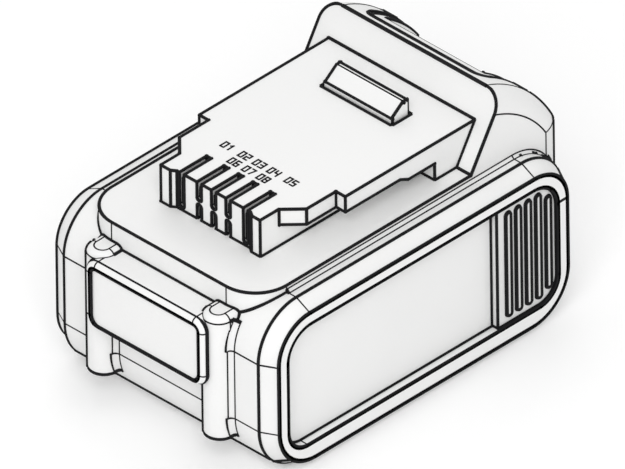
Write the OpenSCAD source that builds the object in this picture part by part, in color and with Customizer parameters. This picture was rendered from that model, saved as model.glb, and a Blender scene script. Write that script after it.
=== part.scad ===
/* [Cells] */
// Diameter of one cell in its sleeve
cell_d = 18.4; // [17.6:0.1:18.8]
// Length of one cell
cell_l = 65; // [63:0.5:68]
// Space between neighbouring cells
cell_gap = 0.4; // [0.4:0.1:1]
// Width of the cell's positive button
cell_button_d = 8; // [6:0.5:10]
// Height of the cell's positive button
cell_button_h = 0.8; // [0.5:0.1:1.2]
// Length of each cell frame along the cells
frame_w = 10; // [8:0.5:12]
// Thinnest wall of the cell frames
frame_wall = 0.8; // [0.7:0.1:1.2]
// Corner radius of the cell frames
frame_r = 10; // [9:0.2:10.4]
// Height of the frame posts under the board
standoff_h = 1.5; // [1.2:0.1:2.5]
// Diameter of the frame posts under the board
standoff_d = 5; // [4:0.5:6]
// Thickness of the nickel strips
strip_t = 0.2; // [0.1:0.05:0.3]
// Width of the nickel strips
strip_w = 12; // [10:0.5:14]
// Width of the tab that joins a strip to the board
tab_w = 5; // [3:0.5:7]
// How far that tab lies on the board
tab_lap = 3; // [2.4:0.1:3.4]
// Corner radius of the nickel strips
strip_r = 2; // [1.5:0.1:2.5]
// Thickness of the insulating sheets
sheet_t = 0.3; // [0.2:0.05:0.5]

/* [Case] */
// Wall thickness of the case
wall = 2.2; // [1.9:0.1:2.6]
// Room between the cell frames and the end walls
frame_end_gap = 2.6; // [2.4:0.1:4]
// Height left over the board
board_room = 1.4; // [1.2:0.1:3]
// Corner radius along the top of the case, seen from the side
top_r = 13.4; // [12:0.2:15]
// Corner radius along the bottom of the case, seen from the side
bottom_r = 14.8; // [14:0.2:17]

/* [Side rims] */
// Depth of each side rim
rim_w = 4.75; // [4:0.25:6]
// How far the rim draws in towards its outer edge
rim_inset = 2.45; // [1.5:0.05:3]
// Width of the rim's flat face at the front and the rear
rim_face = 3.15; // [2.5:0.05:4]
// Width of the rim's flat face at the top
rim_face_top = 3.3; // [2.5:0.1:4]
// Width of the rim's flat face at the bottom
rim_face_bottom = 4.55; // [3.5:0.05:5.5]
// Upper corner radius of the side recess
recess_top_r = 8.2; // [6:0.2:9]
// Lower corner radius of the side recess
recess_bottom_r = 6.6; // [5:0.2:9]
// Thickness of the case wall behind the side panels
side_wall = 1.3; // [1:0.1:1.6]
// Thickness of the plain side panels
panel_t = 0.75; // [0.6:0.05:1.2]
// Length of the plain side panels
panel_l = 73.3; // [65:0.5:76]
// Thickness of the grip pads
pad_t = 2.6; // [2:0.1:2.8]
// Number of ribs on a grip pad
rib_count = 5; // [3:1:5]
// Distance between the ribs
rib_pitch = 3.45; // [2.8:0.05:3.5]
// Width of a rib
rib_w = 1.7; // [1.2:0.1:2]
// Height of a rib above its pad
rib_h = 0.4; // [0.3:0.1:0.8]
// Distance from a rib's end to the edge of the pad
rib_margin = 2.4; // [1.5:0.1:4]
// How far the row of ribs lies behind the middle of its pad
rib_shift = 0.5; // [0:0.1:0.8]
// How much lower the last rib ends, beside the round corner
last_rib_drop = 2.2; // [1:0.1:3]
// How much higher the last rib begins, beside the round corner
last_rib_rise = 1.4; // [0.8:0.1:3]

/* [Deck and rails] */
// Height of the deck above the shoulders
deck_rise = 2; // [1.5:0.1:3]
// Distance from the front wall back to the deck
deck_setback = 2.9; // [2.5:0.1:4]
// Radius of the fillets along the foot of the deck, the hump and the tail
foot_fillet = 1.05; // [0.6:0.05:1.3]
// Corner radius of the deck
deck_r = 10.4; // [8:0.2:12]
// Distance from the front wall back to the terminal tower
tower_setback = 17.5; // [16:0.5:19]
// Height of the terminal tower above the deck
tower_h = 10.9; // [10:0.1:12]
// Distance from the foot of the hump to the rear wall
hump_l = 27.6; // [26:0.1:29]
// Width of the tower below its rails
stem_w = 34; // [33:0.5:36]
// Width over the narrow leading part of the rails
lead_w = 43.6; // [40:0.2:45]
// Width over the rails
rail_w = 50; // [48:0.5:53]
// Thickness of the rails
rail_t = 4.65; // [4:0.05:5]
// Extra thickness of the rails towards the rear
rail_step = 1.35; // [0.8:0.05:1.8]
// Distance from the tower's front to the leading part of the rails
lead_start = 6.5; // [5:0.5:8]
// Distance from the tower's front to the full rails
rail_start = 21.5; // [18:0.5:24]
// Distance from the start of the full rails to the ramp under them
ramp_start = 18.8; // [14:0.2:20]
// Length of the ramp under the rails
ramp_l = 2.9; // [2:0.1:4]
// Length of the stop at the end of each rail
stop_l = 7.5; // [6:0.5:9]

/* [Terminals] */
// Sideways shift of the row of terminal slots
slot_shift = 0.2; // [0:0.1:0.8]
// Distance between the inner slots
inner_pitch = 4.95; // [4.6:0.05:5]
// Distance from an outer slot to the side of the tower, before the shift
slot_margin = 6.1; // [5.8:0.1:6.6]
// Width of a terminal slot
slot_w = 1.6; // [1.2:0.1:1.8]
// Length of a terminal slot along the tower
slot_l = 10.4; // [9:0.2:11]
// Depth of the upper inner slots
upper_slot_h = 5.3; // [4.8:0.1:5.6]
// Height of the lower inner slots
lower_slot_h = 4.5; // [4:0.1:4.6]
// How far the tower's front steps back between its outer columns
lead_in = 0.95; // [0.6:0.05:1.1]
// Width of the stepped-back flat outside each outer slot
lead_in_flat = 0.8; // [0.5:0.1:1.2]
// Width of the slant beside that flat
lead_in_w = 1.4; // [0.8:0.1:1.8]
// Room round the block that holds the contacts
block_gap = 0.4; // [0.3:0.05:0.6]
// Length of a contact's leaves
fork_l = 7; // [6:0.2:7.4]
// How far the upper contacts reach behind the lower ones
tail_step = 2.4; // [2:0.1:2.8]
// Thickness of the contact metal
contact_t = 0.5; // [0.4:0.05:0.6]
// Gap between the two leaves of a contact
contact_gap = 1; // [0.6:0.1:1.2]
// Half the wall between the two storeys of contacts
storey_half = 0.9; // [0.7:0.1:1]
// Thickness of the circuit boards
board_t = 1.6; // [1:0.1:2]
// Distance from the ends of the cells to the edge of the board
board_margin = 1.5; // [1.3:0.1:2]
// Distance from the front wall back to the board
board_setback = 10.5; // [10:0.1:11]

/* [Release] */
// Width of the hump and of the deck
hump_w = 60; // [58:0.5:60.8]
// Radius of the hump's back, seen from the side
hump_r = 38.4; // [37.6:0.2:39.2]
// Depth of that radius's centre below the deck
hump_drop = 17.4; // [17:0.1:18]
// How far that centre lies in front of the hump's foot
hump_ahead = 2.2; // [1.6:0.1:2.6]
// Lean of the hump's front face
hump_lean = 31.1; // [28:0.1:33]
// Radius along the hump's side edges
hump_edge_r = 5.5; // [4:0.5:6.5]
// Wall left in front of the button
hump_lip = 2.5; // [2:0.1:3]
// How far the rear of the pack stands out from the rear wall
tail_out = 4.2; // [4:0.1:5]
// Radius of the upright corners at the rear
tail_r = 5.8; // [4:0.2:7]
// Width of the button opening
button_w = 40; // [36:0.5:40]
// Front corner radius of the button opening
button_r = 3; // [2.5:0.5:4]
// Depth of the thumb dish in the button
dish_depth = 2.5; // [2:0.1:2.8]
// Width of the thumb dish
dish_w = 33; // [26:0.5:34]
// Angle of the dish's middle from straight up, seen from the hump's axis
dish_lean = 46.9; // [44:0.1:49]
// Radius of the thumb dish
dish_r = 37; // [32:1:42]
// How far the button's skirt reaches below the deck
skirt_h = 2.7; // [2.5:0.1:2.9]
// Width of the latch
latch_w = 23.3; // [20:0.1:24]
// Length of the latch along the pack
latch_l = 5.8; // [5:0.1:7]
// Height of the latch above the tower
latch_h = 4.4; // [3.5:0.1:4.4]
// Length of the flat on top of the latch
latch_flat = 1.6; // [1:0.1:2.5]
// Height of the latch's upright front edge
latch_lip = 1.2; // [0.4:0.1:1.4]
// Distance from the foot of the hump to the latch
latch_setback = 2.9; // [2.5:0.1:4]
// How far the slider reaches in front of the latch
slider_nose = 3.5; // [3:0.1:4]
// Width of the arm from the latch to the button
arm_w = 24; // [22:0.5:26]
// How far the arm reaches into the button
arm_reach = 5.8; // [5.4:0.1:6.4]
// Thickness of the arm from the latch to the button
arm_t = 3.8; // [3.2:0.1:4]
// Width of the boss that joins the button to the arm
boss_w = 4.8; // [4:0.2:5.2]
// Diameter of the peg under that boss
boss_peg_d = 3.8; // [3:0.1:4]
// Diameter of the latch springs
spring_d = 6; // [5:0.5:7]
// Wire of the latch springs
spring_wire = 0.6; // [0.5:0.05:0.65]
// Turns of the latch springs
spring_turns = 6; // [4:1:6]
// Distance of the latch springs from the middle
spring_x = 8; // [7:0.5:8.5]
// Distance of the latch springs behind the foot of the hump
spring_back = 6; // [5.6:0.1:6.4]
// Thickness of the bridge under the latch springs
bridge_t = 2; // [1.8:0.1:2.2]
// Width of that bridge in front of and behind the springs
bridge_edge = 4; // [3.6:0.1:4.2]
// Height of the pegs that hold the latch springs
spring_peg_h = 2; // [1.6:0.1:2.4]

/* [Front] */
// Radius of the front screw posts
post_r = 4; // [3.7:0.1:4.3]
// Distance of the front posts from the middle
post_x = 19.8; // [18:0.2:21]
// Distance from the shoulder down to the top of the posts
post_drop = 3.5; // [3:0.1:5]
// Height of the lower end of the posts
post_foot = 8.8; // [8:0.2:10]
// Radius of the posts' upper edge
post_edge_r = 1.85; // [1:0.05:2.2]
// Radius of the fillets beside the posts
post_fillet = 1.9; // [1:0.1:2.4]
// Distance of the rear screws from the middle
rear_screw_x = 24.2; // [23.6:0.1:24.6]
// How far the front plate stands out from the front wall
plate_out = 6; // [5.8:0.1:7]
// Height of the front plate
plate_h = 19.4; // [17:0.1:20]
// How far the plate reaches past the axes of the posts
plate_over = 0.4; // [0:0.1:0.8]
// Distance from the shoulder down to the front plate
plate_drop = 4.6; // [4.2:0.1:6]
// Thickness of the front plate
plate_t = 1.44; // [1.2:0.02:1.6]
// Corner radius of the front plate
plate_r = 3.4; // [2.6:0.1:4]
// Depth of the bare field in the front plate
field_depth = 0.55; // [0.3:0.05:0.7]
// Width of the frame below the bare field
field_foot = 0.75; // [0.6:0.05:1.5]
// Width of the frame round the rest of the bare field
field_edge = 1.7; // [1.6:0.1:2.4]
// Diameter of the pegs behind the front plate
peg_d = 2; // [1.5:0.1:2.4]
// Length of the pegs behind the front plate
peg_l = 2.6; // [2:0.1:3]

/* [Charge gauge] */
// Diameter of the gauge button
gauge_d = 7; // [6:0.1:8]
// Diameter of a gauge light
light_d = 3; // [2.4:0.1:3.4]
// Distance between the gauge lights
light_pitch = 5; // [4.4:0.1:5.4]
// Height of the gauge's middle
gauge_z = 23; // [22:0.5:24]
// Half the width of the gauge board
gauge_half = 15; // [14:0.5:16]
// Diameter of the posts that carry the gauge board
gauge_post_d = 4; // [3:0.2:4.2]
// Height of the posts that carry the gauge board
gauge_post_l = 2.4; // [2.2:0.1:3]
// Distance of the gauge button from the middle
gauge_x = 8.6; // [8.2:0.1:9]
// Distance of the first gauge light from the middle
light_start = 0.6; // [0.3:0.1:0.9]
// Width of the flange round the gauge button
flange_w = 0.7; // [0.5:0.1:0.9]
// Thickness of that flange
flange_t = 0.6; // [0.5:0.1:0.7]
// Thickness of the bar that joins the gauge lights
lens_t = 1; // [0.8:0.1:1.2]

/* [Screws] */
// Diameter of the case screws
screw_d = 3; // [2.5:0.1:3.2]
// Diameter of the case screws' heads
screw_head_d = 5.2; // [5:0.1:5.6]
// Height of the case screws' heads
screw_head_h = 2; // [1.6:0.1:2.4]
// Depth of the case screws' heads in their holes
head_sink = 0.6; // [0.4:0.1:1]
// Cover left above the case screws
screw_cover = 3; // [2.8:0.1:3.4]
// Width across the corners of the case screws' sockets
socket_d = 2.4; // [2:0.1:2.8]
// Diameter of the board screws
small_screw_d = 2; // [1.6:0.1:2.2]
// Height of the board screws' heads
small_head_h = 1; // [0.8:0.1:1.2]

/* [Fits] */
// Gap where a piece slides
slide_gap = 0.3; // [0.2:0.05:0.4]
// Gap where a piece is laid in
lay_gap = 0.15; // [0.1:0.05:0.25]
// Gap round a screw or peg
screw_gap = 0.05; // [0.03:0.01:0.15]
// Room left round a piece that is held on all sides
snug = 0.1; // [0.06:0.02:0.12]
// Travel of the release button
release_travel = 4.6; // [4.4:0.1:4.8]
// Travel of the gauge button
gauge_travel = 0.8; // [0.5:0.1:0.9]

/* [Hidden] */
$fn = 64;
cell_columns = 5;
cell_rows = 2;
contact_count = 8;
strip_count = 6;
// A cut runs this far past the face that it opens
past = 1;
// A joined shape reaches this far into its neighbour
lap = 1;
// A fillet's curve crosses its neighbours by this much and never just touches them
cross = 0.02;
// Share of the half width that the round end of a rib or slot takes up
end_round = 0.92;
hexagon = 6;

// The cell pack sets the inside of the case
cell_pitch = cell_d + cell_gap;
hole_r = cell_d / 2 + snug;
frame_z0 = wall + slide_gap;
cell_z0 = frame_z0 + frame_wall + hole_r;
frame_z1 = cell_z0 + (cell_rows - 1) * cell_pitch + hole_r + frame_wall;
frame_l = (cell_columns - 1) * cell_pitch + 2 * (hole_r + frame_wall);
board_z = frame_z1 + standoff_h;
board_top = board_z + board_t;
case_h = board_top + board_room + wall;
case_l = frame_l + 2 * (frame_end_gap + wall);
cavity_w = cell_l + 2 * (strip_t + sheet_t + lay_gap) + snug;
core_w = cavity_w + snug;

// The case splits where the upper corner curves begin
split_z = case_h - top_r;
front_y = -case_l / 2;
rear_y = case_l / 2;
rim_x = core_w / 2 + rim_w;
pocket_x = cavity_w / 2 + side_wall;
recess_y = rear_y - rim_inset - rim_face;
recess_z0 = rim_inset + rim_face_bottom;
recess_z1 = case_h - rim_inset - rim_face_top;
pad_y = panel_l - recess_y;

// Deck, tower and rails
deck_z = case_h + deck_rise;
tower_z = deck_z + tower_h;
tower_y = front_y + tower_setback;
lead_y = tower_y + lead_start;
rail_y = tower_y + rail_start;
hump_y = rear_y - hump_l;
stem_in = stem_w / 2 - wall;
ceiling_z = tower_z - wall;
outer_slot = stem_w / 2 - slot_margin;
slot_x = [for (x = [-outer_slot, -inner_pitch, 0, inner_pitch, outer_slot]) slot_shift + x];

// The hump's leaning front meets its round back at the top edge
hump_axis_z = deck_z - hump_drop;
lean = tan(hump_lean);
hump_axis_y = hump_y - hump_ahead;
steep = 1 + lean * lean;
reach_b = lean * hump_ahead + hump_drop;
reach_c = pow(hump_ahead, 2) + pow(hump_drop, 2) - pow(hump_r, 2);
hump_top = (sqrt(reach_b * reach_b - steep * reach_c) - reach_b) / steep;
hump_top_y = hump_y + hump_top * lean;
tail_y = rear_y + tail_out;
tail_in_y = tail_y - wall;
button_y = hump_top_y + hump_lip;
skirt_z = deck_z - skirt_h;

// Latch, arm and springs
latch_y1 = hump_y - latch_setback;
latch_y0 = latch_y1 - latch_l;
slider_top = ceiling_z - 2 * snug;
slider_y0 = latch_y0 - slider_nose;
arm_y1 = button_y + arm_reach;
boss_y = arm_y1 - boss_w / 2;
button_roof = wall + slide_gap;
dish_way = hump_r - slide_gap - dish_depth + dish_r;
dish_y = hump_axis_y + dish_way * sin(dish_lean);
dish_z = hump_axis_z + dish_way * cos(dish_lean);
roof_way = hump_r - slide_gap - dish_depth - button_roof;
under_roof = hump_axis_z + (roof_way - (arm_y1 - hump_axis_y) * sin(dish_lean)) / cos(dish_lean);
arm_top = min(slider_top, under_roof - slide_gap);
arm_z0 = arm_top - arm_t;
spring_y = hump_y + spring_back;
bridge_top = frame_z1 + bridge_t;
spring_l = arm_z0 - bridge_top;
bridge_half = spring_d / 2 + bridge_edge;

// Front posts and plate
post_top = case_h - post_drop;
post_reach = sqrt(post_r * post_r + 2 * post_r * post_fillet);
// How far the fillets follow the round corners, up to a post's upper edge and down to its foot
post_turn = asin((post_top - post_edge_r - lap / 2 - split_z) / top_r);
foot_turn = asin((bottom_r - post_foot) / (bottom_r + post_fillet));
plate_w = 2 * (post_x + plate_over);
plate_z1 = case_h - plate_drop;
plate_z0 = plate_z1 - plate_h;
seat_y = front_y - plate_out + plate_t;
head_z = post_foot + screw_head_h + head_sink;
screw_top = post_top - screw_cover;
screw_places = [[-post_x, front_y], [post_x, front_y],
                [-rear_screw_x, rear_y], [rear_screw_x, rear_y]];
peg_x = post_x / 2;

// Boards and their places
board_w = cell_l - 2 * board_margin;
board_y0 = front_y + board_setback;
board_y1 = spring_y - bridge_half - lap;
post_places = [-cell_pitch, 0];
block_y0 = tower_y + wall + slide_gap;
block_y1 = block_y0 + fork_l + tail_step + wall;
block_w = 2 * (stem_in - block_gap);
block_top = ceiling_z - block_gap;
floor_split = deck_z + lower_slot_h + 2 * snug;
gauge_board_y = tail_in_y - gauge_post_l - board_t;
light_x = [for (i = [0 : 2]) light_start + i * light_pitch];
// The pressed button just reaches the switch on its board
switch_h = gauge_post_l - slide_gap - flange_t - gauge_travel - snug;
// Components on the board, as places behind the terminal block and sizes
board_parts = [[[2 - stem_in, 4], [8, 10, 2.5]], [[3, 3], [5, 12, 1.5]],
               [[16, -10], [6, 3, 0.9]], [[16, -5], [6, 3, 0.9]], [[16, 0], [6, 3, 0.9]]];

// The pack's box is centred on the origin along its length
y_mid = (plate_out - tail_out) / 2;

NODES = concat(
    ["lower_case", "upper_case", "front_plate", "side_panel_left", "side_panel_right",
     "grip_pad_left", "grip_pad_right", "release_button", "latch_slider",
     "latch_spring_left", "latch_spring_right", "spring_plate", "terminal_block", "circuit_board",
     "cell_frame_left", "cell_frame_right", "insulator_left", "insulator_right",
     "gauge_board", "gauge_button", "gauge_lens", "case_screws", "board_screws"],
    [for (i = [1 : contact_count]) str("contact_", i)],
    [for (i = [1 : cell_columns * cell_rows]) str("cell_", i)],
    [for (i = [1 : strip_count]) str("bus_strip_", i)]);
node = "all";

// Flat shapes

// What is cut away to round a corner that lies at the origin and opens to +x, +y
module corner_waste(r) {
    difference() {
        translate([-past, -past]) square(r + past);
        translate([r, r]) circle(r);
    }
}

// A rectangle from corner a to corner b with round lower and upper corners
module round_rect(a, b, low_r, high_r) {
    difference() {
        translate(a) square(b - a);
        for (right = [0, 1]) {
            x = right ? b.x : a.x;
            if (low_r > 0) translate([x, a.y]) mirror([right, 0]) corner_waste(low_r);
            if (high_r > 0) translate([x, b.y]) mirror([right, 0]) mirror([0, 1]) corner_waste(high_r);
        }
    }
}

// What fills a hollow corner: its wall runs along y and its floor along x, both from the origin
module fillet_section(r) {
    difference() {
        translate([-lap, -lap]) square(r + lap);
        translate([r - cross, r - cross]) circle(r);
    }
}

// Directions: a flat shape drawn in (y, z) and drawn out along x, or in (x, z) and along y
module along_x(w) { rotate([90, 0, 90]) linear_extrude(w, center = true) children(); }
module along_y(y0, y1) { translate([0, y1, 0]) rotate([90, 0, 0]) linear_extrude(y1 - y0) children(); }
module along_z(z0, z1) { translate([0, 0, z0]) linear_extrude(z1 - z0) children(); }
module outward(x0, x1) { translate([(x0 + x1) / 2, 0, 0]) along_x(x1 - x0) children(); }
// A flat shape drawn in (distance, x) and turned about x between two angles; 90 is the rear, 180 the top
module about_x(y, z, a0, a1) {
    translate([0, y, z]) rotate([0, 90, 0]) rotate([0, 0, a0]) rotate_extrude(angle = a1 - a0) children();
}
module both_sides() { children(); mirror([1, 0, 0]) children(); }
module side(right) { mirror([right ? 0 : 1, 0, 0]) children(); }
module in_frame() { translate([0, y_mid, 0]) children(); }

// Case halves

module rim_lower() {
    x0 = core_w / 2;
    along_z(bottom_r, split_z)
        polygon([[x0 - lap, front_y], [x0, front_y], [rim_x, front_y + rim_inset],
                 [rim_x, rear_y - rim_inset], [x0, rear_y], [x0 - lap, rear_y]]);
    along_y(front_y + bottom_r, rear_y - bottom_r)
        polygon([[x0 - lap, 0], [x0, 0], [rim_x, rim_inset], [rim_x, bottom_r], [x0 - lap, bottom_r]]);
    for (y = [front_y + bottom_r, rear_y - bottom_r])
        translate([x0, y, bottom_r]) rotate([0, 90, 0])
            cylinder(h = rim_w, r1 = bottom_r, r2 = bottom_r - rim_inset);
}

module rim_upper() {
    x0 = core_w / 2;
    along_y(front_y + top_r, rear_y - top_r)
        polygon([[x0 - lap, split_z], [rim_x, split_z], [rim_x, case_h - rim_inset],
                 [x0, case_h], [x0 - lap, case_h]]);
    intersection() {
        for (y = [front_y + top_r, rear_y - top_r])
            translate([x0, y, split_z]) rotate([0, 90, 0])
                cylinder(h = rim_w, r1 = top_r, r2 = top_r - rim_inset);
        translate([x0 - lap, front_y - past, split_z])
            cube([rim_w + 2 * lap, case_l + 2 * past, top_r + past]);
    }
}

module recess_outline(inset) {
    round_rect([-recess_y + inset, recess_z0 + inset], [recess_y - inset, recess_z1 - inset],
               recess_bottom_r - inset, recess_top_r - inset);
}

module side_pockets() {
    both_sides() outward(pocket_x, rim_x + past) recess_outline(0);
}

// The fillet between a round boss and a wall along x; the boss's centre stands d in front of the wall
module wall_fillet(r, d, reach) {
    fillet = (reach * reach - r * r + d * d) / (2 * (r + d));
    centre = [0, -d];
    middle = [reach, -fillet];
    touch = centre + r / (r + fillet) * (middle - centre);
    difference() {
        polygon([centre, touch, middle, [reach, wall], [0, wall]]);
        translate(middle + [-cross, cross]) circle(fillet);
    }
}

// A screw post seen from above, half round in front of the wall and filleted into it
module post_plan() {
    circle(post_r);
    for (s = [0, 1]) mirror([s, 0]) wall_fillet(post_r, 0, post_reach);
}

// The fillets go on along the case's round corners, on both sides of the post
module post_corner_fillets(r) {
    fillet = post_reach - post_r;
    for (s = [0, 1]) mirror([0, s]) translate([r, post_r]) fillet_section(fillet);
}

module post_lower() {
    about_x(bottom_r, bottom_r, 270, 270 + foot_turn) post_corner_fillets(bottom_r);
    along_z(post_foot, split_z) union() {
        circle(post_r);
        translate([-post_r, 0]) square([2 * post_r, wall]);
    }
    along_z(bottom_r, split_z) post_plan();
}

// The post's upper end is rounded over, in front and along the web behind it
module post_upper() {
    about_x(top_r, split_z, 270 - post_turn, 270) post_corner_fillets(top_r);
    translate([0, 0, split_z]) rotate_extrude()
        intersection() {
            round_rect([-post_r, 0], [post_r, post_top - split_z], 0, post_edge_r);
            square([post_r, post_top]);
        }
    along_y(0, deck_setback + lap) round_rect([-post_r, split_z], [post_r, post_top], 0, post_edge_r);
}

// Fillets along the foot of the tail, and of the deck and the hump above it
module tail_fillets() {
    both_sides() {
        along_z(bottom_r, split_z) translate([hump_w / 2 - tail_r, rear_y]) mirror([0, 1])
            wall_fillet(tail_r, tail_out - tail_r, tail_r + foot_fillet);
        about_x(rear_y - bottom_r, bottom_r, 90 - foot_turn, 90)
            translate([bottom_r, hump_w / 2]) fillet_section(foot_fillet);
    }
}

module shoulder_fillets() {
    both_sides() {
        along_y(front_y + top_r, rear_y - top_r) translate([hump_w / 2, case_h]) fillet_section(foot_fillet);
        about_x(rear_y - top_r, split_z, 90, 180) translate([top_r, hump_w / 2]) fillet_section(foot_fillet);
    }
}

module tail_plan(inset) {
    round_rect([-hump_w / 2 + inset, 0], [hump_w / 2 - inset, tail_y - inset], 0, tail_r - inset);
}

// The four columns that the case screws run through
module screw_columns(z0, z1) {
    for (p = screw_places) translate([p.x, p.y, z0]) cylinder(h = z1 - z0, r = post_r);
}

// Room for the gauge behind the rear wall
module gauge_room() {
    translate([-gauge_half - slide_gap, rear_y - wall - past, gauge_z - gauge_half / 2 - slide_gap])
        cube([2 * (gauge_half + slide_gap), tail_in_y - rear_y + wall + past, gauge_half + 2 * slide_gap]);
}

// The four posts that carry the gauge board, in its corners
module gauge_posts() {
    x = gauge_half - gauge_post_d / 2;
    z = gauge_half / 2 - gauge_post_d / 2;
    for (sx = [-1, 1], sz = [-1, 1]) translate([sx * x, tail_in_y, gauge_z + sz * z])
        rotate([90, 0, 0]) cylinder(h = gauge_post_l, d = gauge_post_d);
}

module lower_case() {
    color("white") difference() {
        union() {
            difference() {
                union() {
                    along_x(core_w) round_rect([front_y, 0], [rear_y, split_z], bottom_r, 0);
                    both_sides() rim_lower();
                    for (s = [-1, 1]) translate([s * post_x, front_y, 0]) post_lower();
                    along_y(seat_y, front_y + lap)
                        round_rect([-plate_w / 2, plate_z0], [plate_w / 2, split_z], plate_r, 0);
                    tail_fillets();
                    intersection() {
                        along_z(post_foot, split_z) tail_plan(0);
                        translate([-hump_w, rear_y - wall, 0]) cube([2 * hump_w, 2 * tail_r, case_h]);
                    }
                }
                along_x(cavity_w)
                    round_rect([front_y + wall, wall], [rear_y - wall, split_z + past], bottom_r - wall, 0);
                gauge_room();
            }
            screw_columns(post_foot, split_z);
            gauge_posts();
        }
        side_pockets();
        for (p = screw_places) translate([p.x, p.y, 0]) {
            cylinder(h = split_z + past, d = screw_d + 8 * screw_gap);
            cylinder(h = head_z, d = screw_head_d + 4 * screw_gap);
        }
        for (s = [-1, 1]) translate([s * peg_x, seat_y - past, plate_z0 + plate_h / 4]) rotate([-90, 0, 0])
            cylinder(h = peg_l + past + slide_gap, d = peg_d + 2 * screw_gap);
        translate([-gauge_x, rear_y, gauge_z]) rotate([-90, 0, 0])
            cylinder(h = 2 * tail_out, d = gauge_d + 2 * lay_gap);
        for (x = light_x) translate([x, rear_y, gauge_z]) rotate([-90, 0, 0])
            cylinder(h = 2 * tail_out, d = light_d + 2 * lay_gap);
    }
}

module deck_plan() {
    round_rect([-hump_w / 2, front_y + deck_setback], [hump_w / 2, hump_y + 2 * lap], deck_r, 0);
}

// The tower's stem, its rails and the stops at their rear ends
module rails() {
    end_y = hump_y + tower_h * lean + wall;
    along_z(deck_z - lap, tower_z) polygon([[-stem_w / 2, tower_y], [stem_w / 2, tower_y],
                                            [stem_w / 2, end_y], [-stem_w / 2, end_y]]);
    chamfer = (lead_w - stem_w) / 2;
    both_sides() along_z(tower_z - rail_t, tower_z)
        polygon([[0, lead_y], [stem_w / 2, lead_y], [lead_w / 2, lead_y + chamfer], [lead_w / 2, rail_y],
                 [rail_w / 2, rail_y], [rail_w / 2, end_y], [0, end_y]]);
    ramp_y = rail_y + ramp_start;
    rail_z = tower_z - rail_t;
    along_x(rail_w) polygon([[ramp_y, rail_z], [ramp_y + ramp_l, rail_z - rail_step],
                             [end_y, rail_z - rail_step], [end_y, tower_z - lap],
                             [ramp_y, tower_z - lap]]);
    along_x(rail_w) polygon([[hump_y - stop_l, deck_z - lap], [end_y, deck_z - lap],
                             [end_y, tower_z - lap], [hump_y - stop_l, tower_z - lap]]);
}

// The hump: a leaning front, a round back with rounded side edges and an upright rear
module hump_solid(inset, floor_z) {
    shift = inset / cos(hump_lean);
    high = deck_z + hump_r;
    intersection() {
        translate([0, hump_axis_y, hump_axis_z]) rotate([0, 90, 0]) rotate_extrude() rotate(-90)
            round_rect([-hump_w / 2 + inset, 0], [hump_w / 2 - inset, hump_r - inset],
                       0, hump_edge_r - inset);
        along_x(2 * hump_w)
            polygon([[hump_y + shift + (floor_z - deck_z) * lean, floor_z],
                     [hump_y + shift + (high - deck_z) * lean, high],
                     [2 * tail_y, high], [2 * tail_y, floor_z]]);
        along_z(floor_z, high) tail_plan(inset);
    }
}

// Openings for the tool's blades: outer ones run the full height, inner ones are in two storeys
module terminal_slots() {
    upper_z = tower_z - upper_slot_h;
    half = slot_w / 2;
    end_r = half * end_round;
    for (i = [0 : len(slot_x) - 1]) {
        outer = i == 0 || i == len(slot_x) - 1;
        translate([slot_x[i], 0, 0]) {
            along_y(tower_y - past, tower_y + slot_l)
                round_rect([-half, outer ? deck_z + half : upper_z], [half, tower_z + past], end_r, 0);
            if (!outer) along_y(tower_y - past, tower_y + wall + past)
                round_rect([-half, deck_z], [half, deck_z + lower_slot_h], 0, end_r);
        }
    }
    edge = outer_slot + half + lead_in_flat;
    slant = edge + lead_in_w + past * lead_in_w / lead_in;
    translate([slot_shift, tower_y, 0]) along_z(deck_z, tower_z + past)
        polygon([[-slant, -past], [-edge, lead_in], [edge, lead_in], [slant, -past]]);
}

module upper_case() {
    color("white") difference() {
        union() {
            difference() {
                union() {
                    along_x(core_w) round_rect([front_y, split_z], [rear_y, case_h], 0, top_r);
                    both_sides() rim_upper();
                    along_z(split_z, deck_z) deck_plan();
                    rails();
                    hump_solid(0, split_z);
                    shoulder_fillets();
                    for (s = [-1, 1]) translate([s * post_x, front_y, 0]) post_upper();
                    along_y(seat_y, front_y + deck_setback + lap)
                        round_rect([-plate_w / 2, split_z], [plate_w / 2, plate_z1], 0, plate_r);
                }
                along_x(cavity_w)
                    round_rect([front_y + wall, split_z - past], [rear_y - wall, case_h - wall],
                               0, top_r - wall);
                along_z(case_h - wall - past, deck_z - wall)
                    translate([-hump_w / 2 + wall, front_y + top_r])
                        square([hump_w - 2 * wall, hump_y - front_y - top_r]);
                translate([-stem_in, tower_y + wall, case_h - wall - past])
                    cube([2 * stem_in, button_y - tower_y - wall + past, ceiling_z - case_h + wall + past]);
                hump_solid(wall, split_z + wall + 2 * lap);
            }
            screw_columns(split_z, screw_top + 2 * wall / 3);
        }
        side_pockets();
        terminal_slots();
        along_z(ceiling_z - past, tower_z + past)
            translate([-latch_w / 2 - slide_gap, latch_y0 - slide_gap])
                square([latch_w + 2 * slide_gap, latch_l + 2 * slide_gap]);
        along_z(deck_z, deck_z + hump_r)
            round_rect([-button_w / 2, button_y], [button_w / 2, tail_y + past], button_r, 0);
        along_z(skirt_z - release_travel - slide_gap, deck_z + past)
            round_rect([-button_w / 2, button_y], [button_w / 2, tail_in_y], button_r, 0);
        for (p = screw_places) translate([p.x, p.y, split_z - past])
            cylinder(h = screw_top - split_z + past + slide_gap, d = screw_d + 2 * screw_gap);
    }
}

// Front plate

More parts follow.
